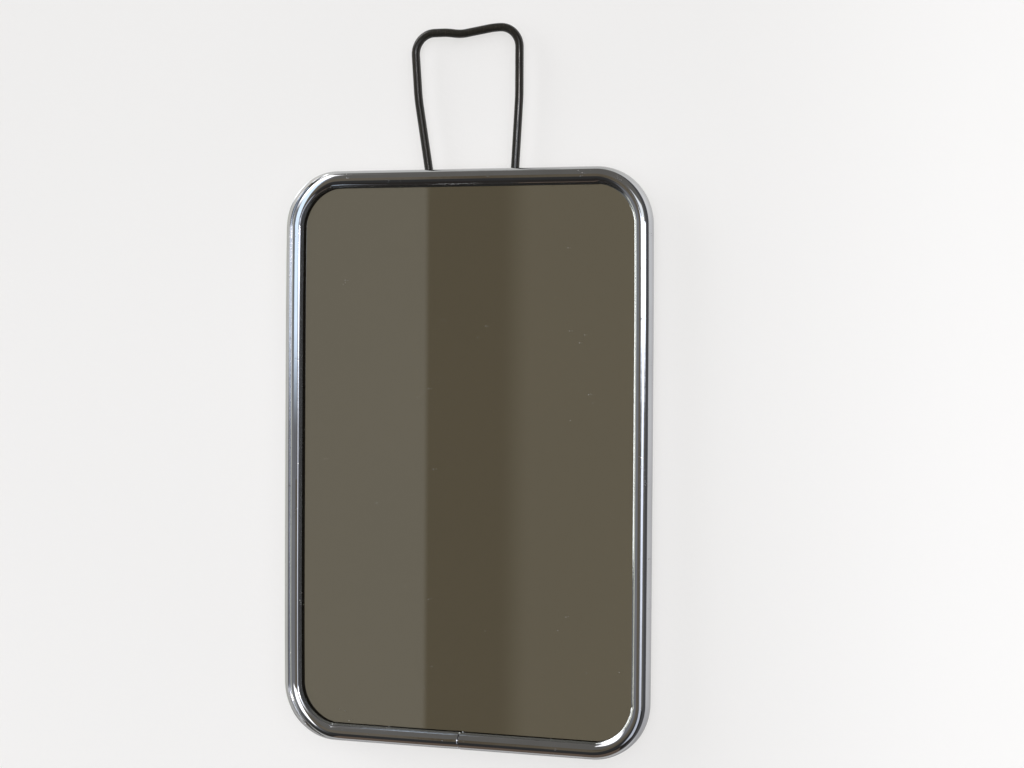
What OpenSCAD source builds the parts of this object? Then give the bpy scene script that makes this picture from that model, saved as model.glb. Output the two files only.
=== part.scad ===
// Small hanging mirror with rounded corners.
// A sheet of silvered glass, a packing card and a thin steel back lie one behind
// the other inside a single rolled and chromed rim strip. A saddle riveted to the
// back holds the inturned ends of a wire bail, which swings from straight up
// (0 degrees, as hung on a nail) over the back to fully folded down (180 degrees).
// Frame: +Z up, the glass faces -Y, origin under the middle of the lowest edge,
// halfway through the overall depth. Millimetres.

/* [Rim] */
// overall width of the rim
rim_w = 136; // [124:1:148]
// overall height of the rim
rim_h = 200; // [186:1:214]
// outer radius of the four corners
corner_r = 20; // [16:0.5:24]
// outer radius of the rolled front bead
bead_r = 3.05; // [2.9:0.05:3.3]
// thickness of the rim strip
strip_t = 0.5; // [0.4:0.05:0.6]
// outer radius where the strip turns in over the back
back_r = 1.6; // [1.3:0.1:1.8]
// flat width of the lip on the back
lip_w = 3.5; // [2.5:0.5:5]
// gap between the two butted ends of the strip
seam_gap = 0.2; // [0.1:0.05:0.4]
// length of the strip brazed inside the rim across the seam
tongue_l = 24; // [16:1:32]
// thickness of that inner strip
tongue_t = 0.5; // [0.3:0.05:0.5]

/* [Glass and backing] */
// depth of the glass face behind the crown of the bead
glass_drop = 2.4; // [2.2:0.1:2.6]
// thickness of the clear glass
glass_t = 1.9; // [1.7:0.1:2.1]
// thickness of the silvering and its paint
coat_t = 0.1; // [0.05:0.01:0.15]
// thickness of the packing card
card_t = 1.0; // [0.9:0.1:1.2]
// thickness of the steel back
back_t = 0.5; // [0.4:0.05:0.6]
// inset of the glass and coating from the rim's outer edge
glass_inset = 1.3; // [1.2:0.1:1.5]
// inset of the card
card_inset = 1.7; // [1.6:0.1:2]
// inset of the steel back
back_inset = 2.1; // [2:0.1:2.4]

/* [Hinge] */
// distance of the hinge axis below the top of the rim
hinge_drop = 60; // [50:1:70]
// length of the hinge saddle and its base along the axis
saddle_l = 11; // [10:0.5:12]
// thickness of the saddle and of the base strap
hinge_t = 0.8; // [0.7:0.05:0.9]
// radial clearance of the wire's straight ends in the saddle
hinge_clear = 0.08; // [0.05:0.01:0.1]
// how far the hinge plates reach above and below the axis
flange_reach = 8.7; // [8.5:0.1:10]
// corner radius of the hinge plates
plate_corner_r = 2; // [1:0.25:2.5]
// radius of the bend at the foot of the saddle
root_r = 0.5; // [0.3:0.1:0.5]
// distance of each rivet from the axis, up or down
rivet_z = 5.95; // [5.8:0.05:6.3]
// distance of each rivet from the middle, left or right
rivet_x = 3.3; // [3.2:0.05:3.4]
// radius of the rivet shanks
rivet_r = 1; // [0.8:0.05:1]
// radius of the domed rivet heads
rivet_head_r = 1.9; // [1.8:0.05:2]
// height of the domed rivet heads
rivet_head_h = 0.9; // [0.6:0.05:1]
// radius of the clinched ends
clinch_r = 1.6; // [1.5:0.05:1.7]
// thickness of the clinched ends
clinch_h = 0.6; // [0.4:0.05:0.7]
// radius of the rivet holes in the sheet metal
rivet_hole_r = 1.3; // [1.2:0.05:1.35]
// radius of the relief holes in the card
relief_r = 2.1; // [2:0.05:2.3]

/* [Bail] */
// radius of the bail wire
wire_r = 1.5; // [1.4:0.05:1.6]
// half the distance between the legs at the hinge
leg_x = 9; // [8.8:0.1:9.5]
// half the gap between the two wire ends inside the saddle
end_gap = 0.6; // [0.4:0.1:1]
// bend radius where a leg turns into the saddle
foot_bend_r = 2.6; // [2.4:0.1:2.8]
// bend radius of the two upper corners
top_bend_r = 7; // [5:0.5:8]
// height of the bail's left corner above the rim
bail_rise = 47.5; // [42:0.5:52]

/* [Hidden] */
$fn = 48;

// A straight length of wire has this much less radius than a bend, so it ends inside the bend.
bend_step = 0.03;
// How far a straight length runs into the bend beside it.
bend_lap = 0.3;
// A cutter runs past the faces that it cuts by this much.
past = 1;

// Depths, measured back from the crown of the bead.
silver_d = glass_drop + glass_t;
card_d = silver_d + coat_t;
back_d = card_d + card_t;
base_d = back_d + back_t;
rim_d = base_d + strip_t;
saddle_d = base_d + hinge_t;
straight_r = wire_r - bend_step;
bore_r = straight_r + hinge_clear;
axis_d = saddle_d + bore_r;
crest_r = bore_r + hinge_t;
total_d = axis_d + crest_r;
front_y = -total_d / 2;
axis_y = front_y + axis_d;
hinge_z = rim_h - hinge_drop;

// The bail's centre line as it stands: each row is x, height above the rim's top, bend radius.
// The right hump stands higher than the left one, and the dip sits left of the middle.
bail_line = [
    [-end_gap, -hinge_drop, 0],
    [-leg_x, -hinge_drop, foot_bend_r],
    [-12.9, -15, 60],
    [-19.5, 25, 60],
    [-21.15, bail_rise, top_bend_r],
    [-9, bail_rise, 20],
    [-3.6, bail_rise - 0.75, 14],
    [8.5, bail_rise + 1.05, 25],
    [18, bail_rise + 1.2, top_bend_r],
    [18.05, 25, 60],
    [16.1, -10, 60],
    [leg_x, -hinge_drop, foot_bend_r],
    [end_gap, -hinge_drop, 0]
];

// Unit vector from point i of the bail's line to the next one.
function heading(i) =
    let (dx = bail_line[i + 1][0] - bail_line[i][0], dz = bail_line[i + 1][1] - bail_line[i][1])
    [dx, dz] / norm([dx, dz]);

// Signed turn at point i, positive when it turns from +X towards +Z.
function turn(i) =
    let (a = heading(i - 1), b = heading(i))
    atan2(a[0] * b[1] - a[1] * b[0], a[0] * b[0] + a[1] * b[1]);

// Length that the bend at point i takes off the straight lengths beside it.
function cut_back(i) =
    i == 0 || i == len(bail_line) - 1 ? 0 : bail_line[i][2] * tan(abs(turn(i)) / 2);

// Turns the rim's flat layout, drawn in X and Y with depth as Z, to stand in the part's frame.
module face_on() {
    translate([0, front_y, rim_h / 2])
        rotate([-90, 0, 0])
            children();
}

// A flat sheet with rounded corners, inset from the rim's outer edge.
module sheet(inset, depth, thickness) {
    corner_x = rim_w / 2 - corner_r;
    corner_y = rim_h / 2 - corner_r;
    r = corner_r - inset;
    face_on()
        translate([0, 0, depth])
            linear_extrude(height = thickness)
                union() {
                    square([2 * (corner_x + r), 2 * corner_y], center = true);
                    square([2 * corner_x, 2 * (corner_y + r)], center = true);
                    for (sx = [-1, 1], sy = [-1, 1])
                        translate([sx * corner_x, sy * corner_y])
                            circle(r = r);
                }
}

// Section of the rim strip: x runs inwards from the outer edge as negative values, y is depth.
module rim_section() {
    intersection() {
        translate([-bead_r, bead_r])
            difference() {
                circle(r = bead_r);
                circle(r = bead_r - strip_t);
            }
        union() {
            translate([-bead_r, -past])
                square([bead_r + past, bead_r + past]);
            translate([-2 * bead_r - past, -past])
                square([bead_r + past, glass_drop + past]);
        }
    }
    translate([-strip_t, bead_r])
        square([strip_t, rim_d - back_r - bead_r]);
    intersection() {
        translate([-back_r, rim_d - back_r])
            difference() {
                circle(r = back_r);
                circle(r = back_r - strip_t);
            }
        translate([-back_r, rim_d - back_r])
            square([back_r + past, back_r + past]);
    }
    translate([-back_r - lip_w, rim_d - strip_t])
        square([lip_w, strip_t]);
}

// One strip carried all round, its two ends butted in the middle of the bottom edge.
module rim() {
    corner_x = rim_w / 2 - corner_r;
    corner_y = rim_h / 2 - corner_r;
    color([0.8, 0.8, 0.82])
        face_on()
            difference() {
                union() {
                    for (side = [0:3]) {
                        upright = side % 2 == 1;
                        length = upright ? 2 * corner_y : 2 * corner_x;
                        reach = upright ? rim_w / 2 : rim_h / 2;
                        rotate([0, 0, 90 * side])
                            translate([-length / 2, reach, 0])
                                rotate([90, 0, 90])
                                    linear_extrude(height = length)
                                        rim_section();
                    }
                    for (corner = [[1, 1, 0], [-1, 1, 90], [-1, -1, 180], [1, -1, 270]])
                        translate([corner[0] * corner_x, corner[1] * corner_y, 0])
                            rotate([0, 0, corner[2]])
                                rotate_extrude(angle = 90, $fn = 64)
                                    translate([corner_r, 0])
                                        rim_section();
                }
                translate([-seam_gap / 2, rim_h / 2 - corner_r / 2, -past])
                    cube([seam_gap, corner_r, rim_d + 2 * past]);
            }
}

// Short flat strip brazed to the inside of the bottom wall, holding the butted ends in line.
module rim_tongue() {
    wall_h = rim_d - back_r - bead_r;
    color([0.6, 0.58, 0.52])
        face_on()
            translate([-tongue_l / 2, rim_h / 2 - strip_t - tongue_t, bead_r])
                cube([tongue_l, tongue_t, wall_h]);
}

module mirror_glass() {
    color([0.75, 0.83, 0.8])
        sheet(glass_inset, glass_drop, glass_t);
}

module silvering() {
    color([0.7, 0.72, 0.72])
        sheet(glass_inset, silver_d, coat_t);
}

// Cutters on the four rivet axes, through everything behind the glass.
module rivet_holes(r) {
    for (sx = [-1, 1], sz = [-1, 1])
        translate([sx * rivet_x, front_y + card_d, hinge_z + sz * rivet_z])
            rotate([-90, 0, 0])
                cylinder(h = total_d, r = r);
}

module packing_card() {
    color([0.62, 0.5, 0.34])
        difference() {
            sheet(card_inset, card_d, card_t);
            translate([0, -past, 0])
                rivet_holes(relief_r);
        }
}

module back_plate() {
    color([0.2, 0.22, 0.22])
        difference() {
            sheet(back_inset, back_d, back_t);
            rivet_holes(rivet_hole_r);
        }
}

// Outline shared by the hinge's two plates, as a block from one depth to another.
module hinge_outline(depth, thickness) {
    translate([0, front_y + depth, hinge_z])
        rotate([-90, 0, 0])
            linear_extrude(height = thickness)
                union() {
                    square([saddle_l, 2 * (flange_reach - plate_corner_r)], center = true);
                    square([saddle_l - 2 * plate_corner_r, 2 * flange_reach], center = true);
                    for (sx = [-1, 1], sy = [-1, 1])
                        translate([sx * (saddle_l / 2 - plate_corner_r),
                                   sy * (flange_reach - plate_corner_r)])
                            circle(r = plate_corner_r);
                }
}

// Flat strap between the saddle and the thin back, which closes the underside of the bore.
module hinge_base() {
    color([0.5, 0.5, 0.5])
        difference() {
            hinge_outline(base_d, hinge_t);
            rivet_holes(rivet_hole_r);
        }
}

// Section of the saddle: x is depth behind the crown of the bead, y is height from the axis.
module saddle_section() {
    flange_top = saddle_d + hinge_t;
    difference() {
        union() {
            translate([axis_d, 0])
                circle(r = crest_r);
            translate([saddle_d, -crest_r])
                square([bore_r, 2 * crest_r]);
            translate([saddle_d, -flange_reach])
                square([hinge_t, 2 * flange_reach]);
            for (flip = [0, 1])
                mirror([0, flip])
                    difference() {
                        translate([flange_top, crest_r])
                            square([root_r, root_r]);
                        translate([flange_top + root_r, crest_r + root_r])
                            circle(r = root_r);
                    }
        }
        translate([axis_d, 0])
            circle(r = bore_r);
        translate([saddle_d - past, -bore_r])
            square([bore_r + past, 2 * bore_r]);
    }
}

module hinge_saddle() {
    color([0.55, 0.55, 0.55])
        difference() {
            intersection() {
                translate([-saddle_l / 2, front_y, hinge_z])
                    rotate([90, 0, 90])
                        linear_extrude(height = saddle_l)
                            saddle_section();
                hinge_outline(saddle_d, total_d);
            }
            rivet_holes(rivet_hole_r);
        }
}

// Half section of a rivet: x is the radius, y is depth behind the crown of the bead.
module rivet_profile() {
    seat = saddle_d + hinge_t;
    dome_r = (rivet_head_r * rivet_head_r + rivet_head_h * rivet_head_h) / (2 * rivet_head_h);
    intersection() {
        translate([0, seat + rivet_head_h - dome_r])
            circle(r = dome_r);
        translate([0, seat])
            square([rivet_head_r + past, rivet_head_h + past]);
    }
    translate([0, back_d - clinch_h])
        square([rivet_r, seat + rivet_head_h / 2 - back_d + clinch_h]);
    translate([0, back_d - clinch_h])
        square([clinch_r, clinch_h]);
}

module hinge_rivets() {
    color([0.66, 0.64, 0.6])
        for (sx = [-1, 1], sz = [-1, 1])
            translate([sx * rivet_x, front_y, hinge_z + sz * rivet_z])
                rotate([-90, 0, 0])
                    rotate_extrude()
                        rivet_profile();
}

// Straight length of the bail from point i to the next, run on a little into each bend.
module bail_straight(i) {
    way = heading(i);
    start = i == 0 ? 0 : cut_back(i) - bend_lap;
    finish = i == len(bail_line) - 2 ? 0 : cut_back(i + 1) - bend_lap;
    length = norm([bail_line[i + 1][0] - bail_line[i][0], bail_line[i + 1][1] - bail_line[i][1]]);
    translate([bail_line[i][0] + way[0] * start, 0, bail_line[i][1] + way[1] * start])
        rotate([0, atan2(way[0], way[1]), 0])
            cylinder(h = length - start - finish, r = straight_r);
}

// Bend of the bail at point i.
module bail_bend(i) {
    way = heading(i - 1);
    angle = turn(i);
    side = sign(angle);
    r = bail_line[i][2];
    centre_x = bail_line[i][0] - way[0] * cut_back(i) - side * r * way[1];
    centre_z = bail_line[i][1] - way[1] * cut_back(i) + side * r * way[0];
    from_start = atan2(-side * way[0], side * way[1]);
    translate([centre_x, 0, centre_z])
        rotate([90, 0, 0])
            rotate([0, 0, side > 0 ? from_start : from_start + angle])
                rotate_extrude(angle = abs(angle), $fn = 96)
                    translate([r, 0])
                        circle(r = wire_r, $fn = 32);
}

// One length of wire: in at one end of the saddle, up, across the top, down and in again.
module hanger_bail() {
    color([0.08, 0.08, 0.08])
        translate([0, axis_y, rim_h])
            union() {
                for (i = [0:len(bail_line) - 2])
                    bail_straight(i);
                for (i = [1:len(bail_line) - 2])
                    bail_bend(i);
            }
}

rim();
rim_tongue();
mirror_glass();
silvering();
packing_card();
back_plate();
hinge_base();
hinge_saddle();
hinge_rivets();
hanger_bail();
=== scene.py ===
import math
import random

import bmesh
import bpy
from mathutils import Matrix, Vector, noise


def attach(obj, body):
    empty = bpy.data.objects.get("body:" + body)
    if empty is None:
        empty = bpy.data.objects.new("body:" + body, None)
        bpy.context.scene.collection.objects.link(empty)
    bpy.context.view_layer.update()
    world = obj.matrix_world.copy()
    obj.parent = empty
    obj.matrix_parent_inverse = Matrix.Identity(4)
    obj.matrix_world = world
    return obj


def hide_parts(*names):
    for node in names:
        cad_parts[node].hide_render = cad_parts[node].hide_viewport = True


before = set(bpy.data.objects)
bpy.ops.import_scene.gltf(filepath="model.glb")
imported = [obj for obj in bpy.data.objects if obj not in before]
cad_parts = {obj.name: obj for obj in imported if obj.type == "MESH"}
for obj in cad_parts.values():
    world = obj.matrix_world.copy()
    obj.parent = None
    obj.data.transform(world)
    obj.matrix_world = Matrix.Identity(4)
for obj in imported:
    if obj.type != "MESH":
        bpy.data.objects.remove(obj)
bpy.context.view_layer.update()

# Small hanging mirror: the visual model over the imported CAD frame.
# Lengths in the shape functions are millimetres in the part's frame: +Z up, glass facing -Y.

MM = 0.001

# Rim: outline, its front, the bead and the strip, the turned-in lip, the depth of the whole section
RIM_W, RIM_H, CORNER_R = 136.0, 200.0, 20.0
FRONT_Y = -5.3
BEAD_R, STRIP_T = 3.05, 0.5
BACK_R, LIP_W, RIM_D = 1.6, 3.5, 6.4
GLASS_DROP = 2.4                  # from the rim's front to the glass
LIP_EASE = 0.15                   # bevel at the lip's edge

# The seam: the gap, the rounding of the left end, the easing of the right end, and the step
# inwards that the left end takes over its last stretch
SEAM_GAP = 0.2
END_ROUND, END_DROP, END_RINGS = 0.5, 0.35, 7
EASE_LENGTH, EASE_DEPTH = 0.08, 0.09
STEP_DEPTH, STEP_LENGTH = 0.10, 9.0

# The left side's sprung form: its sight edge, the (inwards, depth) centres and radii of the arcs
# of its skin from the glass outwards, and the x where it starts and over how far it comes in
SPRUNG_SIGHT = 7.0
ROLL_AT, ROLL_R = (5.771, 1.65), 0.9
CROWN_AT, CROWN_R = (5.771, 6.192), 5.442
SHOULDER_AT, SHOULDER_R = (3.965, 3.064), 1.83
SPRUNG_X, SPRUNG_FADE = -44.0, 22.0

# How far the ends of the long sides bow inwards, in general and at the lower right, and the
# distance from the middle where that starts and over how far it comes in
BOW, BOW_LOW_RIGHT = 0.26, 0.10
BOW_X, BOW_FADE = 52.0, 16.0

# Waves that the rolling left in the skin, as (length, depth), and how much calmer the sprung
# form is, as a share
SLOW_WAVE, QUICK_WAVE = (26.0, 0.020), (7.0, 0.006)
SPRUNG_CALM = 0.7

# Puckers on the inner slope at each corner: degrees into the corner, depth, width in degrees, and
# how far inwards of the bead's crest they start and over how far they come in
PUCKERS = ((86.0, 0.20, 2.2), (74.0, 0.07, 2.6), (6.0, 0.06, 2.4))
PUCKER_START, PUCKER_FADE = 0.9, 1.6

# Flat layers: inset from the rim's outer edge, the Y of the front and of the back, the bevel
GLASS_INSET, GLASS_Y, GLASS_BEVEL = 1.3, (-2.9, -1.02), 0.18
SILVER_INSET, SILVER_Y, SILVER_BEVEL = 1.45, (-1.0, -0.9), 0.01
BACK_INSET, BACK_Y = 2.1, (0.1, 0.6)
SHEET_STEPS = 24                  # of each rounded corner

# Hinge: its axis, the two plates with their fronts, the saddle's crest over the wire, the rivets
HINGE_Z, AXIS_Y = 140.0, 2.95
PLATE_W, PLATE_REACH, PLATE_T, PLATE_R = 11.0, 8.7, 0.8, 2.0
BASE_Y, SADDLE_Y = 0.6, 1.4
CREST_R, BORE_R, ROOT_R = 2.345, 1.55, 0.5
RIVET_X, RIVET_Z, RIVET_HEAD_R, RIVET_HEAD_H, RIVET_R = 3.3, 5.95, 1.9, 0.9, 1.0
CLINCH_R, CLINCH_H = 1.6, 0.6
RIVET_SIDES, RIVET_SEED = 36, 11

# Hammer marks on a rivet's head: how many, radians from one to the next, greatest share of radius
LUMPS, LUMP_TURN, LUMP_DEPTH = 5, 1.256, 0.035

# Bail: x, height above the rim's top, bend radius
WIRE_R, WIRE_SIDES = 1.49, 28
BAIL_LINE = [
    (-0.6, -60, 0), (-9, -60, 2.6), (-12.9, -15, 60), (-19.5, 25, 60), (-21.15, 47.5, 7),
    (-9, 47.5, 20), (-3.6, 46.75, 14), (8.5, 48.55, 25), (18, 48.7, 7), (18.05, 25, 60),
    (16.1, -10, 60), (9, -60, 2.6), (0.6, -60, 0),
]
DIP_X = -3.6                      # where the bail rests on its nail

# Stage, in metres: the wall behind the mirror, what the lights point at, and the camera
WALL_Y, WALL_HALF = 0.0085, 1.6
LIGHT_AIM = (0.0, 0.0, 0.12)
CAMERA_AT, CAMERA_AIM = (0.30962, -0.75186, 0.14593), (0.018072, -0.00225, 0.126402)
CAMERA_ROLL, CAMERA_LENS, SENSOR_WIDTH = 0.369, 82.95, 36.0


# ---------------------------------------------------------------- shader helpers

class Graph:
    """Short ways to add nodes to a material's or the world's node tree."""

    def __init__(self, tree):
        self.tree = tree
        tree.nodes.clear()

    def node(self, kind, **settings):
        made = self.tree.nodes.new(kind)
        for key, value in settings.items():
            setattr(made, key, value)
        return made

    def put(self, socket, value):
        if hasattr(value, "is_output"):
            self.tree.links.new(value, socket)
        else:
            socket.default_value = value

    def math(self, op, a, b=0.0):
        made = self.node("ShaderNodeMath", operation=op)
        self.put(made.inputs[0], a)
        self.put(made.inputs[1], b)
        return made.outputs[0]

    def ramp(self, value, low, high, to_low=0.0, to_high=1.0):
        made = self.node("ShaderNodeMapRange", interpolation_type="SMOOTHSTEP")
        for name, v in (("Value", value), ("From Min", low), ("From Max", high),
                        ("To Min", to_low), ("To Max", to_high)):
            self.put(made.inputs[name], v)
        return made.outputs["Result"]

    def mix(self, factor, a, b, blend="MIX"):
        made = self.node("ShaderNodeMix", data_type="RGBA", blend_type=blend)
        self.put(made.inputs["Factor"], factor)
        self.put(made.inputs["A"], a)
        self.put(made.inputs["B"], b)
        return made.outputs["Result"]

    def band(self, value, start, end, soft):
        """1 between start and end, fading to 0 over soft on both sides."""
        rise = self.ramp(value, start - soft / 2, start + soft / 2)
        fall = self.ramp(value, end - soft / 2, end + soft / 2, 1.0, 0.0)
        return self.math("MULTIPLY", rise, fall)

    def noise(self, scale, detail, rough, vector):
        made = self.node("ShaderNodeTexNoise")
        made.inputs["Scale"].default_value = scale
        made.inputs["Detail"].default_value = detail
        made.inputs["Roughness"].default_value = rough
        self.put(made.inputs["Vector"], vector)
        return made.outputs["Fac"]

    def cells(self, scale, vector):
        """Distance from the nearest of many scattered points."""
        made = self.node("ShaderNodeTexVoronoi")
        made.inputs["Scale"].default_value = scale
        self.put(made.inputs["Vector"], vector)
        return made.outputs["Distance"]

    def position(self, stretch=(1, 1, 1)):
        """Object-space position, stretched along the axes."""
        coords = self.node("ShaderNodeTexCoord")
        mapping = self.node("ShaderNodeMapping")
        mapping.inputs["Scale"].default_value = stretch
        self.put(mapping.inputs["Vector"], coords.outputs["Object"])
        return mapping.outputs["Vector"]

    def axis(self, vector, index):
        made = self.node("ShaderNodeSeparateXYZ")
        self.put(made.inputs[0], vector)
        return made.outputs[index]

    def bump(self, height, distance, strength, normal=None):
        made = self.node("ShaderNodeBump")
        made.inputs["Strength"].default_value = strength
        made.inputs["Distance"].default_value = distance
        self.put(made.inputs["Height"], height)
        if normal is not None:
            self.put(made.inputs["Normal"], normal)
        return made.outputs["Normal"]

    def glow(self, kind, colour):
        """An emission or background shader in a colour."""
        made = self.node(kind)
        self.put(made.inputs["Color"], colour)
        return made.outputs[0]

    def principled(self, **inputs):
        shader = self.node("ShaderNodeBsdfPrincipled")
        for name, value in inputs.items():
            self.put(shader.inputs[name.replace("_", " ")], value)
        return shader.outputs[0]

    def output(self, shader, kind="ShaderNodeOutputMaterial"):
        out = self.node(kind)
        self.put(out.inputs["Surface"], shader)

    def surface(self, **inputs):
        """A Principled shader wired to the material output."""
        self.output(self.principled(**inputs))


def new_material(name):
    material = bpy.data.materials.new(name)
    material.use_nodes = True
    return material, Graph(material.node_tree)


# ---------------------------------------------------------------- materials

def chrome_material():
    """Bright chrome, faintly hazed and pitted, with rust specks in the deeper pits."""
    material, g = new_material("chrome")
    place = g.position()
    haze = g.noise(90, 4, 0.6, place)
    blotch = g.noise(28, 3, 0.55, place)
    pits = g.cells(1500, place)
    pit = g.ramp(pits, 0.10, 0.32, 1.0, 0.0)
    rare = g.ramp(g.noise(260, 2, 0.5, place), 0.62, 0.70)
    pit = g.math("MULTIPLY", pit, rare)
    grain = g.noise(5200, 2, 0.6, place)
    colour = g.mix(g.ramp(blotch, 0.35, 0.75), (0.70, 0.705, 0.72, 1), (0.62, 0.62, 0.63, 1))
    colour = g.mix(g.math("MULTIPLY", pit, 0.7), colour, (0.16, 0.12, 0.09, 1))
    rough = g.math("ADD", g.ramp(haze, 0.3, 0.8, 0.035, 0.10), g.math("MULTIPLY", pit, 0.3))
    normal = g.bump(g.noise(420, 2, 0.5, place), 0.00002, 0.30)
    normal = g.bump(grain, 0.000003, 0.35, normal)
    normal = g.bump(g.math("SUBTRACT", 1.0, pit), 0.00004, 0.8, normal)
    g.surface(Base_Color=colour, Metallic=1.0, Roughness=rough, Normal=normal)
    return material


def glass_material():
    """Clear, faintly green glass with dust specks and a few fine scuffs."""
    material, g = new_material("mirror_glass")
    place = g.position()
    dust = g.ramp(g.cells(420, place), 0.03, 0.07, 1.0, 0.0)
    dust = g.math("MULTIPLY", dust, g.ramp(g.noise(60, 2, 0.5, place), 0.60, 0.66))
    scuff_place = g.position((40, 1, 900))
    scuff = g.ramp(g.noise(2.2, 3, 0.5, scuff_place), 0.70, 0.76)
    scuff = g.math("MULTIPLY", scuff, g.ramp(g.noise(24, 2, 0.5, place), 0.55, 0.68))
    marks = g.math("MAXIMUM", dust, g.math("MULTIPLY", scuff, 0.25))
    rough = g.math("ADD", g.math("MULTIPLY", marks, 0.5), 0.004)
    clear = g.math("SUBTRACT", 1.0, g.math("MULTIPLY", marks, 0.6))
    colour = g.mix(marks, (0.955, 0.975, 0.962, 1), (0.62, 0.61, 0.58, 1))
    normal = g.bump(g.noise(14, 1, 0.4, place), 0.00001, 0.25)
    g.surface(Base_Color=colour, Roughness=rough, Transmission_Weight=clear, IOR=1.52,
              Normal=normal)
    return material


def silver_material():
    """The reflecting coat: slightly warm silver, dulled and foxed near the edges."""
    material, g = new_material("silvering")
    place = g.position()
    x = g.math("ABSOLUTE", g.axis(place, 0))
    z = g.math("ABSOLUTE", g.math("SUBTRACT", g.axis(place, 2), RIM_H / 2 * MM))
    side = g.ramp(x, 0.0605, 0.0655)
    end = g.ramp(z, 0.0925, 0.0975)
    edge = g.math("MAXIMUM", side, end)
    fox = g.math("MULTIPLY", edge, g.ramp(g.noise(340, 4, 0.6, place), 0.50, 0.68))
    colour = g.mix(g.ramp(g.noise(12, 2, 0.5, place), 0.3, 0.7),
                   (0.90, 0.885, 0.86, 1), (0.88, 0.87, 0.85, 1))
    colour = g.mix(g.math("MULTIPLY", fox, 0.75), colour, (0.10, 0.08, 0.06, 1))
    rough = g.math("ADD", g.math("MULTIPLY", fox, 0.35), 0.006)
    g.surface(Base_Color=colour, Metallic=1.0, Roughness=rough)
    return material


def card_material():
    """Grey-brown strawboard with flecks of fibre."""
    material, g = new_material("grey_card")
    fibre = g.noise(60, 6, 0.7, g.position((1, 14, 6)))
    fleck = g.ramp(g.cells(900, g.position()), 0.05, 0.2, 1.0, 0.0)
    colour = g.mix(g.ramp(fibre, 0.3, 0.7), (0.30, 0.24, 0.17, 1), (0.42, 0.35, 0.25, 1))
    colour = g.mix(g.math("MULTIPLY", fleck, 0.4), colour, (0.16, 0.12, 0.08, 1))
    g.surface(Base_Color=colour, Roughness=g.ramp(fibre, 0.2, 0.8, 0.82, 0.95),
              Normal=g.bump(fibre, 0.0001, 0.5))
    return material


def back_material():
    """Dark stoved enamel on thin steel, with scratches and small rusty chips."""
    material, g = new_material("back_enamel")
    place = g.position()
    peel = g.noise(700, 3, 0.5, place)
    cloud = g.noise(16, 4, 0.6, place)
    scratch = g.ramp(g.noise(3.0, 3, 0.6, g.position((60, 1, 520))), 0.66, 0.70)
    scratch_b = g.ramp(g.noise(3.0, 3, 0.6, g.position((480, 1, 70))), 0.68, 0.72)
    scratch = g.math("MULTIPLY", g.math("MAXIMUM", scratch, scratch_b),
                     g.ramp(g.noise(22, 2, 0.5, place), 0.45, 0.65))
    chip = g.ramp(g.noise(170, 4, 0.65, place), 0.70, 0.72)
    colour = g.mix(g.ramp(cloud, 0.3, 0.75), (0.022, 0.026, 0.027, 1), (0.045, 0.048, 0.046, 1))
    colour = g.mix(g.math("MULTIPLY", scratch, 0.45), colour, (0.16, 0.16, 0.15, 1))
    colour = g.mix(chip, colour, (0.20, 0.11, 0.06, 1))
    rough = g.math("ADD", g.ramp(cloud, 0.3, 0.75, 0.26, 0.42), g.math("MULTIPLY", chip, 0.4))
    worn = g.math("MAXIMUM", chip, g.math("MULTIPLY", scratch, 0.4))
    normal = g.bump(peel, 0.00002, 0.4)
    normal = g.bump(g.math("SUBTRACT", 1.0, worn), 0.00004, 0.6, normal)
    g.surface(Base_Color=colour, Roughness=rough, Normal=normal, Coat_Weight=0.3,
              Coat_Roughness=0.12)
    return material


def steel_material(name, light, dark, grain):
    """Plated steel gone dull: drawn grain, grey haze and brown stain in patches."""
    material, g = new_material(name)
    place = g.position()
    lines = g.noise(9, 4, 0.6, g.position(grain))
    haze = g.noise(240, 4, 0.6, place)
    stain = g.ramp(g.noise(330, 4, 0.7, place), 0.55, 0.72)
    colour = g.mix(g.ramp(haze, 0.3, 0.7), light, dark)
    colour = g.mix(g.math("MULTIPLY", stain, 0.6), colour, (0.15, 0.085, 0.045, 1))
    rough = g.math("ADD", g.ramp(lines, 0.3, 0.7, 0.26, 0.40), g.math("MULTIPLY", stain, 0.3))
    metal = g.math("SUBTRACT", 1.0, g.math("MULTIPLY", stain, 0.6))
    normal = g.bump(lines, 0.00002, 0.5)
    normal = g.bump(haze, 0.00002, 0.3, normal)
    g.surface(Base_Color=colour, Metallic=metal, Roughness=rough, Normal=normal)
    return material


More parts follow.
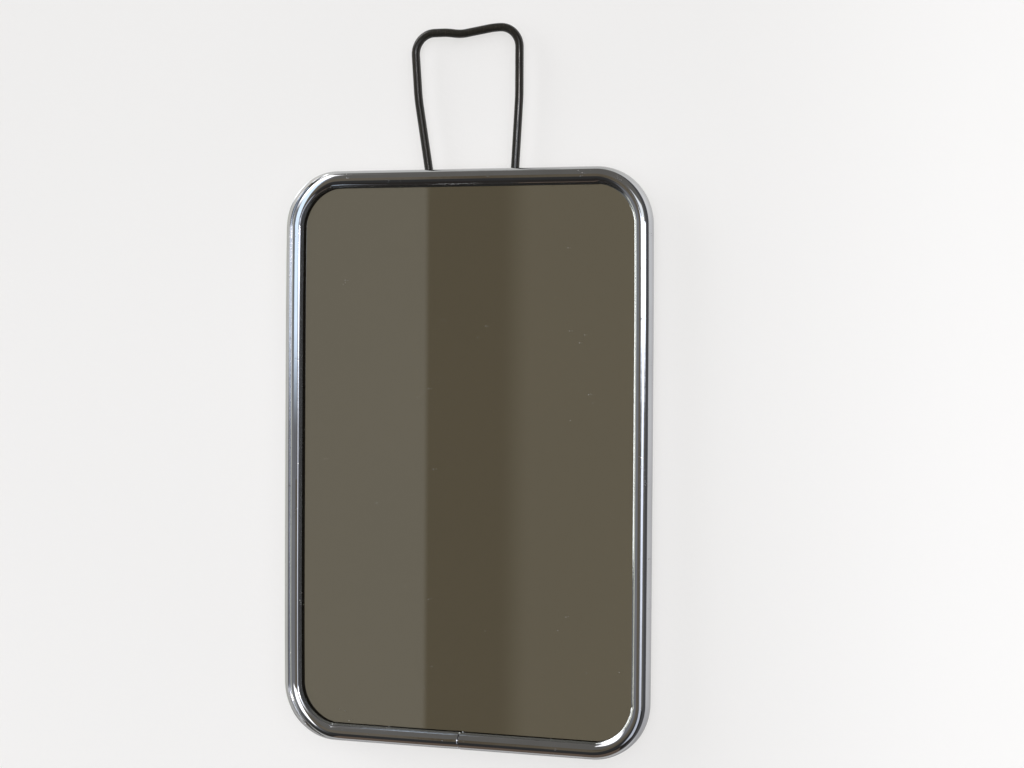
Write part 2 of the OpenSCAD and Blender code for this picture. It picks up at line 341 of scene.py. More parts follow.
def wire_material():
    """Glossy black enamel, thin and brown where it has rubbed, bare at the dip on the nail, and
    duller on the left leg."""
    material, g = new_material("wire_enamel")
    place = g.position()
    x = g.axis(place, 0)
    z = g.axis(place, 2)
    skin = g.noise(900, 3, 0.55, place)
    streak = g.noise(5, 4, 0.65, g.position((700, 700, 22)))
    rub = g.ramp(streak, 0.52, 0.66)
    from_dip = g.math("ABSOLUTE", g.math("SUBTRACT", x, DIP_X * MM))
    at_dip = g.math("MULTIPLY", g.ramp(from_dip, 0.0008, 0.0030, 1.0, 0.0),
                    g.ramp(z, 0.2440, 0.2462, 1.0, 0.0))
    bare = g.math("MULTIPLY", at_dip, g.ramp(g.noise(900, 4, 0.7, place), 0.35, 0.55))
    chip = g.math("MULTIPLY", g.ramp(g.noise(620, 3, 0.6, place), 0.70, 0.73), 0.8)
    bare = g.math("MAXIMUM", bare, chip)
    colour = g.mix(rub, (0.017, 0.016, 0.013, 1), (0.036, 0.030, 0.022, 1))
    colour = g.mix(bare, colour, (0.20, 0.17, 0.14, 1))
    dull = g.math("MAXIMUM", rub, g.ramp(x, -0.010, 0.004, 0.75, 0.0))
    rough = g.math("ADD", g.ramp(dull, 0.0, 1.0, 0.07, 0.27), g.math("MULTIPLY", bare, 0.2))
    metal = g.math("MULTIPLY", bare, 0.9)
    normal = g.bump(skin, 0.00002, 0.22)
    normal = g.bump(g.math("SUBTRACT", 1.0, bare), 0.00003, 0.5, normal)
    g.surface(Base_Color=colour, Metallic=metal, Roughness=rough, Normal=normal)
    return material


def wall_material():
    """Pale plaster whose glow is painted light: an emission that stands in for the light on it,
    painted brighter to the right and a little darker near the top; clear from behind, so that the
    back can be seen.
    """
    material, g = new_material("wall")
    place = g.position()
    shade = g.noise(3, 2, 0.5, place)
    colour = g.mix(g.ramp(shade, 0.3, 0.7), (0.27, 0.268, 0.272, 1), (0.29, 0.288, 0.292, 1))
    # Painted light: the emission brightens to the right of x 0.075 m, where the mirror's faint
    # shadow on the wall ends, and dims above 0.10 m. It stands in for the lighting, not for the
    # plaster's colour.
    glow = g.mix(g.ramp(g.axis(place, 0), 0.075, 0.20), (0.618, 0.610, 0.596, 1),
                 (0.712, 0.704, 0.692, 1))
    glow = g.mix(g.ramp(g.axis(place, 2), 0.10, 0.26), glow, (0.95, 0.95, 0.945, 1), "MULTIPLY")
    plaster_with_painted_light = g.principled(Base_Color=colour, Roughness=0.9, Specular_IOR_Level=0.1,
                           Emission_Color=glow, Emission_Strength=1.0,
                           Normal=g.bump(g.noise(500, 3, 0.55, place), 0.0002, 0.35))
    mix = g.node("ShaderNodeMixShader")
    g.put(mix.inputs[0], g.node("ShaderNodeNewGeometry").outputs["Backfacing"])
    g.put(mix.inputs[1], plaster_with_painted_light)
    g.put(mix.inputs[2], g.node("ShaderNodeBsdfTransparent").outputs[0])
    g.output(mix.outputs[0])
    return material


def card_glow_material(name, colour, fade):
    """The uneven glow of a reflected card. A fade is the two heights, in metres, between which
    it comes up from grey to its colour."""
    material, g = new_material(name)
    place = g.position()
    darker = tuple(c * 0.8 for c in colour[:3]) + (1,)
    shown = g.mix(g.noise(20, 2, 0.5, place), colour, darker)
    if fade is not None:
        shown = g.mix(g.ramp(g.axis(place, 2), *fade), (0.20, 0.205, 0.22, 1), shown)
    g.output(g.glow("ShaderNodeEmission", shown))
    return material


# ---------------------------------------------------------------- shape helpers

def add_object(name, bm, material):
    """Makes an object of bmesh geometry, one material on it, and puts it in the scene."""
    mesh = bpy.data.meshes.new(name)
    bm.to_mesh(mesh)
    bm.free()
    mesh.materials.append(material)
    obj = bpy.data.objects.new(name, mesh)
    bpy.context.scene.collection.objects.link(obj)
    return obj


def finish_piece(name, bm, material, body, node, sharp=38):
    """Turns millimetre geometry into a shown piece that stands for its CAD node."""
    for vert in bm.verts:
        vert.co *= MM
    bmesh.ops.recalc_face_normals(bm, faces=bm.faces)
    obj = add_object(name, bm, material)
    obj.data.polygons.foreach_set("use_smooth", [True] * len(obj.data.polygons))
    obj.data.set_sharp_from_angle(angle=math.radians(sharp))
    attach(obj, body)
    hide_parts(node)


def loft(bm, rings):
    """Quads between rings of points, each ring closed, with a cap on the first and the last."""
    made = [[bm.verts.new(p) for p in ring] for ring in rings]
    count = len(made[0])
    for a, b in zip(made, made[1:]):
        for i in range(count):
            j = (i + 1) % count
            bm.faces.new((a[i], a[j], b[j], b[i]))
    bm.faces.new(made[0][::-1])
    bm.faces.new(made[-1])


def rounded_outline(half_w, half_h, radius, steps):
    """Points of a rounded rectangle about the origin, anticlockwise."""
    points = []
    for quarter, (sx, sz) in enumerate(((1, 1), (-1, 1), (-1, -1), (1, -1))):
        for i in range(steps + 1):
            a = math.radians(90 * (quarter + i / steps))
            points.append((sx * (half_w - radius) + radius * math.cos(a),
                           sz * (half_h - radius) + radius * math.sin(a)))
    return points


def plate_rings(half_w, half_h, radius, y_front, y_back, bevel, centre_z, steps):
    """Rings of a flat rounded plate with a small bevel on both edges."""
    rings = []
    for cut, y in ((bevel, y_front), (0, y_front + bevel), (0, y_back - bevel), (bevel, y_back)):
        outline = rounded_outline(half_w - cut, half_h - cut, radius - cut, steps)
        rings.append([Vector((x, y, centre_z + z)) for x, z in outline])
    return rings


# ---------------------------------------------------------------- rim

def arc(centre, radius, start, end, steps):
    """Points (inwards, depth) of an arc; angle 0 faces the front, -90 the outside."""
    points = []
    for i in range(steps + 1):
        a = math.radians(start + (end - start) * i / steps)
        points.append((centre[0] + radius * math.sin(a), centre[1] - radius * math.cos(a)))
    return points


def rim_section(sprung):
    """Closed section of the strip as (inwards, depth, looseness): looseness is 1 on the outer
    skin, which may be worn or dented, and 0 inside. The sprung form is that of the left side,
    where the bead has rolled inwards and a crease parts it from the side of the strip. Both
    forms have the same number of points."""
    if sprung:
        skin = [(SPRUNG_SIGHT, GLASS_DROP)] + arc(ROLL_AT, ROLL_R, 70, 0, 12)
        skin += arc(CROWN_AT, CROWN_R, -1.5, -29, 11)
        skin += arc(SHOULDER_AT, SHOULDER_R, -31, -62, 5)
        skin += [(2.3, 2.05), (2.2, 1.75), (2.09, 1.50), (1.98, 1.43), (1.85, 1.49), (1.0, 2.22),
                 (0.5, 2.60), (0.12, 2.80), (0.02, 3.05)]
    else:
        outer_end = math.degrees(math.acos((BEAD_R - GLASS_DROP) / BEAD_R))
        skin = arc((BEAD_R, BEAD_R), BEAD_R, outer_end, -90, 40)
    skin += [(0, 3.5), (0, 4.2)]
    skin += arc((BACK_R, RIM_D - BACK_R), BACK_R, -90, -180, 10)
    skin += [(BACK_R + 1.2, RIM_D), (BACK_R + LIP_W - LIP_EASE, RIM_D)]
    inside = [(BACK_R + LIP_W, RIM_D - LIP_EASE), (BACK_R + LIP_W, RIM_D - STRIP_T)]
    inside += [(BACK_R + 1.0, RIM_D - STRIP_T)]
    inside += arc((BACK_R, RIM_D - BACK_R), BACK_R - STRIP_T, -180, -90, 6)
    if sprung:
        inside += [(0.52, 3.2), (1.1, 2.7), (1.7, 2.45), (2.2, 2.75)]
        inside += arc(SHOULDER_AT, SHOULDER_R - STRIP_T, -60, -32, 2)
        inside += arc(CROWN_AT, CROWN_R - STRIP_T, -28, -2, 4)
        inside += arc(ROLL_AT, ROLL_R - STRIP_T, 40, 70, 1) + [(SPRUNG_SIGHT - 0.53, GLASS_DROP)]
    else:
        inner = BEAD_R - STRIP_T
        inner_end = math.degrees(math.acos((BEAD_R - GLASS_DROP) / inner))
        inside += arc((BEAD_R, BEAD_R), inner, -90, inner_end, 14)
    return [(a, b, 1.0) for a, b in skin] + [(a, b, 0.0) for a, b in inside]


def rim_stations():
    """Places along the rim from one butted end round to the other, anticlockwise from the
    front: (x, z, inward x, inward z, distance along, degrees into a corner or None)."""
    stations = []
    travelled = 0.0
    half_w, half_h = RIM_W / 2, RIM_H / 2
    flat_w, flat_h = half_w - CORNER_R, half_h - CORNER_R

    def straight(x0, z0, x1, z1, inward, step=2.4):
        nonlocal travelled
        length = math.hypot(x1 - x0, z1 - z0)
        count = max(1, round(length / step))
        for i in range(count):
            t = i / count
            stations.append((x0 + (x1 - x0) * t, z0 + (z1 - z0) * t, *inward,
                             travelled + length * t, None))
        travelled += length

    def corner(cx, cz, start):
        nonlocal travelled
        length = CORNER_R * math.pi / 2
        steps = 44
        for i in range(steps):
            turn = 90 * i / steps
            a = math.radians(start + turn)
            stations.append((cx + CORNER_R * math.cos(a), cz + CORNER_R * math.sin(a),
                             -math.cos(a), -math.sin(a), travelled + length * i / steps, turn))
        travelled += length

    gap = SEAM_GAP / 2
    straight(gap, -half_h, gap + EASE_LENGTH, -half_h, (0, 1))
    straight(gap + EASE_LENGTH, -half_h, flat_w, -half_h, (0, 1))
    corner(flat_w, -flat_h, -90)
    straight(half_w, -flat_h, half_w, flat_h, (-1, 0))
    corner(flat_w, flat_h, 0)
    straight(flat_w, half_h, -flat_w, half_h, (0, -1))
    corner(-flat_w, flat_h, 90)
    straight(-half_w, flat_h, -half_w, -flat_h, (1, 0))
    corner(-flat_w, -flat_h, 180)
    straight(-flat_w, -half_h, -gap - END_ROUND, -half_h, (0, 1))
    straight(-gap - END_ROUND, -half_h, -gap, -half_h, (0, 1), END_ROUND / END_RINGS)
    stations.append((-gap, -half_h, 0, 1, travelled, None))
    return stations


def rim_wear(along, a, b):
    """How far the skin lies below its true section: slow waves left by the rolling."""
    (slow_length, slow_depth), (quick_length, quick_depth) = SLOW_WAVE, QUICK_WAVE
    slow = noise.noise(Vector((along / slow_length, a * 0.25, b * 0.25)))
    quick = noise.noise(Vector((along / quick_length, a * 0.6 + 9, b * 0.6)))
    return slow_depth * (1 + slow) + quick_depth * (1 + quick)


def corner_pucker(turn, a, b):
    """Depth of the small puckers on the bead's inner slope where each corner was bent."""
    before_glass = b < GLASS_DROP + 0.01
    if turn is None or not before_glass:
        return 0.0
    depth = 0.0
    for at, size, width in PUCKERS:
        depth += size * math.exp(-((turn - at) / width) ** 2)
    return depth * max(0.0, min(1.0, (a - BEAD_R - PUCKER_START) / PUCKER_FADE))


def sprung_share(x):
    """How much of the left side's form the section has at a place on the rim."""
    part = max(0.0, min(1.0, (SPRUNG_X - x) / SPRUNG_FADE))
    return part * part * (3 - 2 * part)


def side_bow(x, z):
    """How far a long side lies inwards, so that it stands a little proud at half its height."""
    reach = min(1.0, abs(z) / (RIM_H / 2 - CORNER_R))
    size = BOW_LOW_RIGHT if x > 0 and z < 0 else BOW
    return size * reach ** 4 * min(1.0, max(0.0, (abs(x) - BOW_X) / BOW_FADE))


def build_rim(material):
    """The whole strip: its section carried round the outline, worn, puckered and butted."""
    section = list(zip(rim_section(False), rim_section(True)))
    stations = rim_stations()
    total = stations[-1][4]
    rings = []
    for x, z, nx, nz, along, turn in stations:
        closing = EASE_DEPTH if along < EASE_LENGTH / 2 else 0.0
        past = max(0.0, END_ROUND - (total - along)) / END_ROUND
        closing += END_DROP * (1 - math.sqrt(max(0.0, 1 - past * past)))
        left_end = max(0.0, 1 - (total - along) / STEP_LENGTH)
        share = sprung_share(x)
        bow = side_bow(x, z) * (-1 if x > 0 else 1)
        ring = []
        for (a0, b0, loose), (a1, b1, _) in section:
            a, b = a0 + (a1 - a0) * share, b0 + (b1 - b0) * share
            worn = loose * (rim_wear(along, a, b) + corner_pucker(turn, a, b) + closing)
            worn *= 1.0 - SPRUNG_CALM * share
            da, db = a - BEAD_R, b - min(max(b, BEAD_R), RIM_D - BACK_R)
            length = math.hypot(da, db) or 1.0
            a2, b2 = a - da / length * worn, b - db / length * worn
            a2 += STEP_DEPTH * left_end * left_end * (1 if b < BEAD_R else 0.4)
            ring.append(Vector((x + nx * a2 + bow, FRONT_Y + b2, RIM_H / 2 + z + nz * a2)))
        rings.append(ring)
    bm = bmesh.new()
    loft(bm, rings)
    finish_piece("rim_strip", bm, material, "mirror", "rim", sharp=34)


# ---------------------------------------------------------------- flat layers

def build_sheet(name, inset, depths, bevel, material, node):
    bm = bmesh.new()
    loft(bm, plate_rings(RIM_W / 2 - inset, RIM_H / 2 - inset, CORNER_R - inset, *depths, bevel,
                         RIM_H / 2, SHEET_STEPS))
    finish_piece(name, bm, material, "mirror", node, sharp=25)


def build_back(material):
    """The steel back, its rear face very slightly out of flat, its edges true."""
    bm = bmesh.new()
    columns, rows = 44, 64
    sag, sag_length = 0.05, 40.0
    half_w, half_h = RIM_W / 2 - BACK_INSET, RIM_H / 2 - BACK_INSET
    radius = CORNER_R - BACK_INSET

    def inside(u, v):
        """Square grid to the rounded sheet: pulls corner points in along the arc."""
        x, z = u * half_w, v * half_h
        cx, cz = half_w - radius, half_h - radius
        over_x, over_z = abs(x) - cx, abs(z) - cz
        if over_x > 0 and over_z > 0:
            reach = max(over_x, over_z)
            scale = reach / math.hypot(over_x, over_z)
            x = math.copysign(cx + over_x * scale, x)
            z = math.copysign(cz + over_z * scale, z)
        return x, z

    grid = {}
    for side, y in enumerate(BACK_Y):
        for i in range(columns + 1):
            for j in range(rows + 1):
                u, v = 2 * i / columns - 1, 2 * j / rows - 1
                x, z = inside(u, v)
                wave = noise.noise(Vector((x / sag_length, z / sag_length, 3.0)))
                from_edge = min(1.0, (1 - abs(u)) * 6, (1 - abs(v)) * 6)
                dy = -side * sag * (0.5 + 0.5 * wave) * from_edge
                grid[side, i, j] = bm.verts.new((x, y + dy, RIM_H / 2 + z))
    for i in range(columns):
        for j in range(rows):
            for side in (0, 1):
                bm.faces.new([grid[side, i + p, j + q]
                              for p, q in ((0, 0), (1, 0), (1, 1), (0, 1))])
    border = ([(i, 0) for i in range(columns)] + [(columns, j) for j in range(rows)]
              + [(i, rows) for i in range(columns, 0, -1)] + [(0, j) for j in range(rows, 0, -1)])
    for p, q in zip(border, border[1:] + border[:1]):
        bm.faces.new((grid[0, p[0], p[1]], grid[0, q[0], q[1]],
                      grid[1, q[0], q[1]], grid[1, p[0], p[1]]))
    finish_piece("back_sheet", bm, material, "mirror", "back_plate", sharp=30)


# ---------------------------------------------------------------- hinge

def plate_half_width(z):
    """Half the plate's width at height z from the axis, rounded at the corners."""
    over = abs(z) - (PLATE_REACH - PLATE_R)
    if over <= 0:
        return PLATE_W / 2
    return PLATE_W / 2 - PLATE_R + math.sqrt(max(0.0, PLATE_R ** 2 - over ** 2))


def build_hinge_base(material):
    bm = bmesh.new()
    bevel, steps = 0.12, 10
    loft(bm, plate_rings(PLATE_W / 2, PLATE_REACH, PLATE_R, BASE_Y, BASE_Y + PLATE_T, bevel,
                         HINGE_Z, steps))
    finish_piece("hinge_base_strap", bm, material, "mirror", "hinge_base")


def saddle_line():
    """Outer and inner skin of the saddle as matching (height, depth) points, bottom to top: a
    flange, the round root of the crest, half the crest, and the same again mirrored."""
    flange_out, flange_in = SADDLE_Y + PLATE_T, SADDLE_Y
    root = CREST_R + ROOT_R
    outer, inner = [], []
    for t in (0.0, 0.012, 0.03, 0.06, 0.1, 0.16, 0.24, 0.34, 0.5, 0.7, 0.9):
        h = -PLATE_REACH + (PLATE_REACH - root) * t
        outer.append((h, flange_out))
        inner.append((h, flange_in))
    root_steps = 6
    for i in range(root_steps + 1):
        t = i / root_steps
        a = math.radians(90 * t)
        outer.append((-root + ROOT_R * math.sin(a), flange_out + ROOT_R * (1 - math.cos(a))))
        inner.append((-root + (root - BORE_R) * t, flange_in))
    outer.append((-CREST_R, AXIS_Y))
    inner.append((-BORE_R, flange_in + (AXIS_Y - flange_in) * 0.6))
    side = len(outer)
    crest_steps = 25
    for i in range(1, crest_steps):
        a = math.radians(180 * i / crest_steps)
        outer.append((-CREST_R * math.cos(a), AXIS_Y + CREST_R * math.sin(a)))
        inner.append((-BORE_R * math.cos(a), AXIS_Y + BORE_R * math.sin(a)))
    outer += [(-h, y) for h, y in outer[side - 1::-1]]
    inner += [(-h, y) for h, y in inner[side - 1::-1]]
    return outer, inner


def build_hinge_saddle(material):
    """Bent strap: a strip of sections across its width, edges eased."""
    outer, inner = saddle_line()
    bevel, least_half_width = 0.14, 0.4
    rings = []
    for (ho, yo), (hi, yi) in zip(outer, inner):
        w = max(plate_half_width(ho), least_half_width)
        dh, dy = hi - ho, yi - yo
        length = math.hypot(dh, dy)
        uh, uy = dh / length * bevel, dy / length * bevel
        ring = [(-w + bevel, ho, yo), (w - bevel, ho, yo), (w, ho + uh, yo + uy),
                (w, hi - uh, yi - uy), (w - bevel, hi, yi), (-w + bevel, hi, yi),
                (-w, hi - uh, yi - uy), (-w, ho + uh, yo + uy)]
        rings.append([Vector((x, y, HINGE_Z + h)) for x, h, y in ring])
    bm = bmesh.new()
    loft(bm, rings)
    finish_piece("hinge_saddle_strap", bm, material, "mirror", "hinge_saddle",
                 sharp=50)


def rivet_profile():
    """(radius, depth) points of a rivet from the middle of its domed head to that of its clinched
    end, with how many of them the hammering moves sideways and how many in depth."""
    seat = SADDLE_Y + PLATE_T
    inner_face = BACK_Y[0]
    touch, pole = 0.02, 0.02
    narrower, fuller = 1.15, 0.85
    profile = [(pole, seat + RIVET_HEAD_H)]
    for degrees in (12, 24, 36, 48, 60, 70, 80, 88):
        a = math.radians(degrees)
        profile.append((RIVET_HEAD_R * math.sin(a) ** narrower,
                        seat + RIVET_HEAD_H * math.cos(a) ** fuller))
    dome = len(profile) - 1
    profile += [(RIVET_HEAD_R * 0.99, seat + touch), (RIVET_R, seat + touch),
                (RIVET_R, inner_face + touch), (CLINCH_R * 0.94, inner_face - touch),
                (CLINCH_R, inner_face - 0.2), (CLINCH_R * 0.9, inner_face - CLINCH_H + 0.1),
                (pole, inner_face - CLINCH_H + touch)]
    return profile, dome + 2, dome


def build_rivets(material):
    """Four hammered rivets: domed heads over the saddle, clinched ends inside the back."""
    rng = random.Random(RIVET_SEED)
    bm = bmesh.new()
    profile, sideways, deep = rivet_profile()
    for sx in (-1, 1):
        for sz in (-1, 1):
            turn = rng.uniform(0, 6.28)
            lumps = [rng.uniform(-LUMP_DEPTH, 0.0) for _ in range(LUMPS)]
            rings = []
            for k, (r, y) in enumerate(profile):
                ring = []
                for i in range(RIVET_SIDES):
                    a = 2 * math.pi * i / RIVET_SIDES
                    lump = sum(v * max(0.0, math.cos(a - turn - LUMP_TURN * n)) ** 2
                               for n, v in enumerate(lumps))
                    rr = r * (1 + (lump if k < sideways else 0.0))
                    yy = y + (lump * 0.6 * r / RIVET_HEAD_R if k < deep else 0.0)
                    ring.append(Vector((sx * RIVET_X + rr * math.cos(a), yy,
                                        HINGE_Z + sz * RIVET_Z + rr * math.sin(a))))
                rings.append(ring)
            loft(bm, rings)
    finish_piece("hinge_rivet_set", bm, material, "mirror", "hinge_rivets",
                 sharp=40)


# ---------------------------------------------------------------- bail

def bail_centre_line():
    """Points along the bent wire: close together in the bends, at most about 2 mm apart in the
    straights."""
    points = [Vector((x, AXIS_Y, RIM_H + z)) for x, z, _ in BAIL_LINE]
    closest, furthest = 0.05, 2.0
    bend_step, bend_degrees = 0.7, 6
    line = []
    for i, here in enumerate(points):
        r = BAIL_LINE[i][2]
        if r == 0:
            line.append(here)
            continue
        before = (points[i - 1] - here).normalized()
        after = (points[i + 1] - here).normalized()
        half = math.acos(max(-1, min(1, before.dot(after)))) / 2
        cut = r / math.tan(half)
        centre = here + (before + after).normalized() * (r / math.sin(half))
        start, end = here + before * cut, here + after * cut
        a, b = start - centre, end - centre
        turn = a.angle(b)
        steps = max(3, round(turn * r / bend_step), round(math.degrees(turn) / bend_degrees))
        axis = a.cross(b).normalized()
        for k in range(steps + 1):
            line.append(centre + Matrix.Rotation(turn * k / steps, 3, axis) @ a)
    dense = [line[0]]
    for p in line[1:]:
        gap = (p - dense[-1]).length
        if gap < closest:
            continue
        pieces = max(1, round(gap / furthest))
        last = dense[-1]
        for k in range(1, pieces + 1):
            dense.append(last.lerp(p, k / pieces))
    return dense


def build_bail(material):
    """The bent wire, a hair inside the CAD's, its enamel uneven except inside the saddle."""
    line = bail_centre_line()
    under, ripple, ripple_length = 0.02, 0.012, 9
    end_length, end_bevel = 0.02, 0.15
    saddle_half, saddle_reach = 6.2, 0.5
    rings = []
    travelled = 0.0
    total = sum((b - a).length for a, b in zip(line, line[1:]))
    for i, p in enumerate(line):
        if i:
            travelled += (p - line[i - 1]).length
        along = (line[min(i + 1, len(line) - 1)] - line[max(i - 1, 0)]).normalized()
        across = Vector((0, 1, 0))
        up = across.cross(along).normalized()
        in_saddle = abs(p.x) < saddle_half and abs(p.z - HINGE_Z) < saddle_reach
        uneven = 0.0 if in_saddle else ripple
        at_end = min(travelled, total - travelled) < end_length
        ring = []
        for k in range(WIRE_SIDES):
            a = 2 * math.pi * k / WIRE_SIDES
            wave = noise.noise(Vector((travelled / ripple_length,
                                       math.cos(a) * 0.6, math.sin(a) * 0.6)))
            r = WIRE_R - under - uneven * (1 + wave) - (end_bevel if at_end else 0.0)
            ring.append(p + across * (r * math.cos(a)) + up * (r * math.sin(a)))
        rings.append(ring)
    bm = bmesh.new()
    loft(bm, rings)
    finish_piece("bail_wire", bm, material, "bail", "hanger_bail", sharp=45)


# ---------------------------------------------------------------- stage, light, camera

def hide_from(obj, *rays):
    """Hides an object from kinds of ray, such as shadow or glossy."""
    for ray in rays:
        setattr(obj, "visible_" + ray, False)


def build_wall():
    bm = bmesh.new()
    half = WALL_HALF
    corners = ((-half, -half), (half, -half), (half, half), (-half, half))
    bm.faces.new([bm.verts.new((x, WALL_Y, z)) for x, z in corners])
    wall = add_object("wall", bm, wall_material())
    hide_from(wall, "shadow", "diffuse", "glossy", "transmission")


def build_world():
    """What the chrome and the glass see: a pale wall behind them, and in front a dim room with
    windows and a lamp. Turn is in degrees to the right of straight out from the glass, and rise
    in degrees upwards."""
    world = bpy.data.worlds.new("room")
    bpy.context.scene.world = world
    world.use_nodes = True
    g = Graph(world.node_tree)
    way = g.node("ShaderNodeTexCoord").outputs["Generated"]
    x, y, z = (g.axis(way, i) for i in range(3))
    to_degrees = math.degrees(1)
    turn = g.math("MULTIPLY", g.math("ARCTAN2", x, g.math("MULTIPLY", y, -1.0)), to_degrees)
    rise = g.math("MULTIPLY", g.math("ARCSINE", z), to_degrees)

    room = g.mix(g.ramp(rise, -52, -36), (0.030, 0.027, 0.025, 1), (0.040, 0.040, 0.040, 1))
    room = g.mix(g.ramp(rise, -18, -8), room, (0.150, 0.145, 0.135, 1))
    left_wall = g.math("MULTIPLY", g.band(turn, -110, -40, 16), g.band(rise, -26, 30, 12))
    room = g.mix(left_wall, room, (0.225, 0.23, 0.245, 1))
    room = g.mix(g.ramp(turn, 46, 58), room, (0.085, 0.085, 0.090, 1))

    # The three olive-brown bands that the glass shows the camera
    dark = g.math("MULTIPLY", g.ramp(turn, -23.42, -23.24), g.ramp(turn, -21.6, -20.75, 1.0, 0.0))
    seen = g.band(turn, -36, -12, 6)
    olive = g.mix(g.ramp(turn, -22.8, -22.0), (0.162, 0.142, 0.113, 1), (0.1415, 0.120, 0.0884, 1))
    olive = g.mix(dark, olive, (0.1055, 0.0865, 0.0597, 1))
    room = g.mix(g.math("MULTIPLY", seen, g.band(rise, -14, 16, 7)), room, olive)

    # Windows and the lamp
    left = g.math("MULTIPLY", g.band(turn, -89, -80, 3), g.band(rise, -25, 14, 10))
    room = g.mix(left, room, (0.80, 0.82, 0.70, 1))
    high_left = g.math("MULTIPLY", g.band(turn, -88, -50, 14), g.band(rise, 20, 52, 12))
    room = g.mix(high_left, room, (3.0, 3.0, 3.1, 1))
    low_right = g.math("MULTIPLY", g.band(turn, 6, 31, 6), g.band(rise, -42, 2, 5))
    low_right = g.math("MULTIPLY", low_right, g.ramp(rise, -10, -1, 0.45, 1.0))
    room = g.mix(low_right, room, (1.5, 1.6, 1.85, 1))
    right = g.math("MULTIPLY", g.band(turn, -12, 48, 8), g.band(rise, -0.5, 5, 4))
    room = g.mix(right, room, (2.6, 2.75, 3.1, 1))
    upper = g.math("MULTIPLY", g.band(turn, 2, 34, 8), g.band(rise, 5, 22, 4))
    room = g.mix(upper, room, (1.1, 1.15, 1.2, 1))
    lamp = g.math("MULTIPLY", g.band(turn, 12, 20, 3), g.band(rise, 2.6, 6.6, 1.4))
    room = g.mix(lamp, room, (27, 25, 24, 1))

    # The wall behind the mirror, brighter to the right and above
    behind = g.ramp(y, -0.03, 0.03)
    wall = g.mix(g.ramp(x, -0.2, 0.9), (0.56, 0.56, 0.55, 1), (0.76, 0.76, 0.78, 1))
    wall = g.mix(g.ramp(x, -0.75, -0.45), (0.70, 0.695, 0.665, 1), wall)
    shaded = g.mix(g.ramp(rise, -35, 35), (0.70, 0.70, 0.71, 1), (1.14, 1.14, 1.13, 1))
    level = g.ramp(rise, -65, -45)
    wall = g.mix(level, wall, g.mix(1.0, wall, shaded, "MULTIPLY"))
    room = g.mix(behind, room, wall)

    camera_ray = g.node("ShaderNodeLightPath").outputs["Is Camera Ray"]
    colour = g.mix(camera_ray, room, (0.86, 0.86, 0.87, 1))
    g.output(g.glow("ShaderNodeBackground", colour), "ShaderNodeOutputWorld")


def area_light(name, place, size, power, colour=(1, 1, 1)):
    """A square light aimed at the mirror, hidden from the camera and from glossy rays."""
    data = bpy.data.lights.new(name, "AREA")
    data.shape = "RECTANGLE"
    data.size, data.size_y = size, size
    data.energy = power
    data.color = colour
    lamp = bpy.data.objects.new(name, data)
    lamp.location = place
    way = Vector(LIGHT_AIM) - Vector(place)
    lamp.rotation_euler = way.to_track_quat("-Z", "Y").to_euler()
    hide_from(lamp, "glossy", "camera")
    bpy.context.scene.collection.objects.link(lamp)


def build_lights():
    area_light("key", (-1.5, -0.8, 0.55), 1.4, 11.5)
    area_light("fill", (0.9, -1.9, 0.6), 2.2, 27, (0.99, 0.99, 1.0))
    area_light("rear", (0.5, 1.5, 0.8), 1.2, 20)


def reflected_card(name, corner, across, up, colour, fade=None):
    """A small glowing card that only reflections show: one corner and its two sides."""
    corner, across, up = Vector(corner), Vector(across), Vector(up)
    bm = bmesh.new()
    bm.faces.new([bm.verts.new(p * MM)
                  for p in (corner, corner + across, corner + across + up, corner + up)])
    card = add_object(name, bm, card_glow_material(name, colour, fade))
    hide_from(card, "camera", "shadow", "diffuse", "transmission")


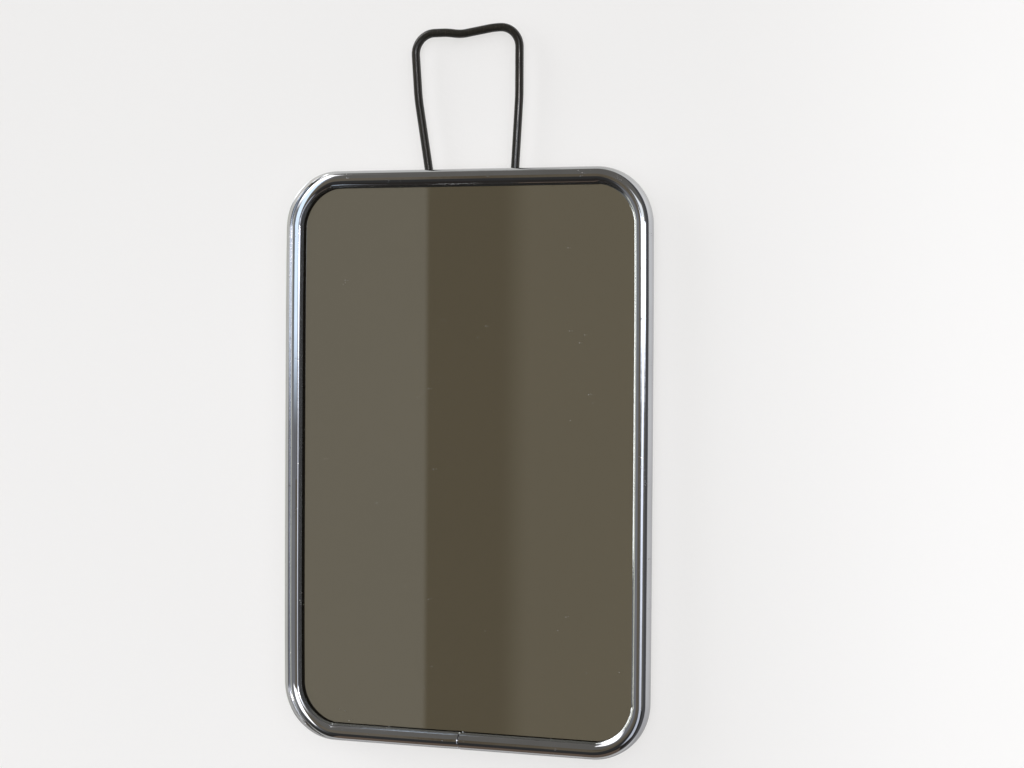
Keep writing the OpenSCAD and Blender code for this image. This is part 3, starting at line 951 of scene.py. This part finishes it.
def build_cards():
    """What is near the mirror in the room: something brown below it, and pale things beside its
    left edge, which the glass itself doesn't show the camera."""
    reflected_card("brown_card", (-66, -30, -30), (132, 0, 0), (0, 26, 0),
                   (0.165, 0.125, 0.098, 1))
    reflected_card("blue_card", (-96, -25, 90), (23, 0, 0), (0, 0, 125),
                   (1.25, 1.5, 1.8, 1), fade=(0.105, 0.150))
    reflected_card("white_card", (-92, -25, -6), (19, 0, 0), (0, 0, 19),
                   (2.3, 2.3, 2.3, 1))


def build_camera():
    """The photograph's viewpoint, rolled slightly about the line of sight."""
    place, roll = Vector(CAMERA_AT), math.radians(CAMERA_ROLL)
    data = bpy.data.cameras.new("camera")
    data.sensor_width, data.lens = SENSOR_WIDTH, CAMERA_LENS
    data.clip_start, data.clip_end = 0.01, 50
    camera = bpy.data.objects.new("camera", data)
    way = (Vector(CAMERA_AIM) - place).normalized()
    right = way.cross(Vector((0, 0, 1))).normalized()
    up = right.cross(way)
    across = right * math.cos(roll) + up * math.sin(roll)
    upright = up * math.cos(roll) - right * math.sin(roll)
    turn = Matrix((across, upright, -way)).transposed()
    camera.matrix_world = Matrix.Translation(place) @ turn.to_4x4()
    bpy.context.scene.collection.objects.link(camera)
    bpy.context.scene.camera = camera


# ---------------------------------------------------------------- assembly

def repaint(node, material):
    """Gives a CAD node that is carried over its detailed material."""
    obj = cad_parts[node]
    obj.data.materials.clear()
    obj.data.materials.append(material)


# Each steel: its name, a light and a dark tone, and how its drawn grain is stretched along x, y, z
steel = steel_material("hinge_steel", (0.50, 0.50, 0.50, 1), (0.36, 0.355, 0.345, 1),
                       (30, 30, 700))
rivet = steel_material("rivet_steel", (0.56, 0.55, 0.53, 1), (0.40, 0.39, 0.37, 1),
                       (300, 300, 300))
brazed = steel_material("brazed_strip", (0.50, 0.46, 0.38, 1), (0.34, 0.29, 0.22, 1),
                        (700, 30, 30))

build_rim(chrome_material())
build_sheet("glass_pane", GLASS_INSET, GLASS_Y, GLASS_BEVEL, glass_material(), "mirror_glass")
build_sheet("silver_coat", SILVER_INSET, SILVER_Y, SILVER_BEVEL, silver_material(), "silvering")
build_back(back_material())
build_hinge_base(steel)
build_hinge_saddle(steel)
build_rivets(rivet)
build_bail(wire_material())
repaint("packing_card", card_material())
repaint("rim_tongue", brazed)

build_wall()
build_world()
build_lights()
build_cards()
build_camera()
bpy.context.scene.view_settings.view_transform = "Standard"
